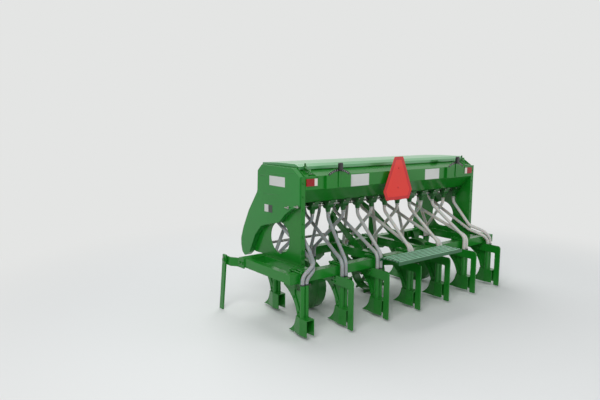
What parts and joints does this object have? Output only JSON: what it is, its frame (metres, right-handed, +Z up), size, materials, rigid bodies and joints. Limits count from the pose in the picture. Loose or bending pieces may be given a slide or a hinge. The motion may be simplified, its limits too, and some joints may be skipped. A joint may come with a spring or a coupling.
{
  "type": "seed drill",
  "caption": "Tractor-mounted seed and fertiliser drill with a twin hopper, hoses, two rows of openers, gauge wheels, a lugged drive wheel and folding parking stands.",
  "frame": {"origin": "on the ground under the middle of the drill's bounding box", "axes": "+X across the drill to its right, +Y the way it travels, +Z up"},
  "size_m": [2.5786, 1.176, 1.25],
  "materials": {
    "green_paint": "glossy enamel",
    "lid_green": "glossy enamel",
    "steel": "plain zinc-plated",
    "hose": "translucent flexible hose",
    "red_reflector": "moulded reflector",
    "warning_red": "fluorescent sheet with a darker border",
    "white_label": "blank sticker",
    "black_knob": "moulded plastic"
  },
  "bodies": {
    "drill": {"beam_caps": "green_paint", "chain_cover": "green_paint", "covering_bars": "green_paint", "cross_shaft": "steel", "feed_shafts": "steel", "fertiliser_cups": "green_paint", "fertiliser_hoses_front": "hose", "fertiliser_hoses_rear": "hose", "footboard": "green_paint", "footboard_brackets": "green_paint", "front_beam": "green_paint", "front_boots": "green_paint", "front_clamps": "green_paint", "front_shanks": "green_paint", "gauge_axles": "steel", "gauge_forks": "green_paint", "hopper": "green_paint", "inner_rails": "green_paint", "left_end_plate": "green_paint", "lever_knobs": "black_knob", "lid_hinges": "green_paint", "lower_hitch_brackets": "green_paint", "lower_hitch_pins": "steel", "mast_braces": "green_paint", "mast_posts": "green_paint", "rate_levers": "steel", "rate_quadrants": "green_paint", "rear_beam": "green_paint", "rear_boots": "green_paint", "rear_clamps": "green_paint", "rear_label": "white_label", "rear_shanks": "green_paint", "reflectors": "red_reflector", "right_end_plate": "green_paint", "seed_cups": "green_paint", "seed_hoses_front": "hose", "seed_hoses_rear": "hose", "shaft_bearings": "green_paint", "side_beams": "green_paint", "stand_arms": "green_paint", "top_clevis": "green_paint", "triangle_strap": "green_paint", "warning_triangle": "warning_red"},
    "lid": {"lid": "lid_green"},
    "left_gauge_wheel": {"left_gauge_wheel": "green_paint"},
    "right_gauge_wheel": {"right_gauge_wheel": "green_paint"},
    "drive_arm": {"drive_arm": "green_paint", "drive_axle": "steel"},
    "drive_wheel": {"drive_wheel": "green_paint"},
    "left_stand": {"left_stand": "green_paint"},
    "right_stand": {"right_stand": "green_paint"}
  },
  "joints": [
    {"name": "lid_hinge", "type": "hinge", "parent": "drill", "child": "lid", "pos_m": [0, 0.341, 1.189], "axis": [-1, 0, 0], "range_deg": [0, 105]},
    {"name": "left_gauge_wheel_spin", "type": "hinge", "parent": "drill", "child": "left_gauge_wheel", "pos_m": [-0.69, 0.142, 0.205], "axis": [1, 0, 0], "continuous": true},
    {"name": "right_gauge_wheel_spin", "type": "hinge", "parent": "drill", "child": "right_gauge_wheel", "pos_m": [0.69, 0.142, 0.205], "axis": [1, 0, 0], "continuous": true},
    {"name": "drive_arm_float", "type": "hinge", "parent": "drill", "child": "drive_arm", "pos_m": [0, 0.497, 0.5], "axis": [-1, 0, 0], "range_deg": [-8, 12]},
    {"name": "drive_wheel_spin", "type": "hinge", "parent": "drive_arm", "child": "drive_wheel", "pos_m": [0, 0.127, 0.205], "axis": [1, 0, 0], "continuous": true},
    {"name": "left_stand_fold", "type": "hinge", "parent": "drill", "child": "left_stand", "pos_m": [-1.274, 0.473, 0.425], "axis": [-1, 0, 0], "range_deg": [0, 105]},
    {"name": "right_stand_fold", "type": "hinge", "parent": "drill", "child": "right_stand", "pos_m": [1.274, 0.473, 0.425], "axis": [-1, 0, 0], "range_deg": [0, 105]}
  ]
}
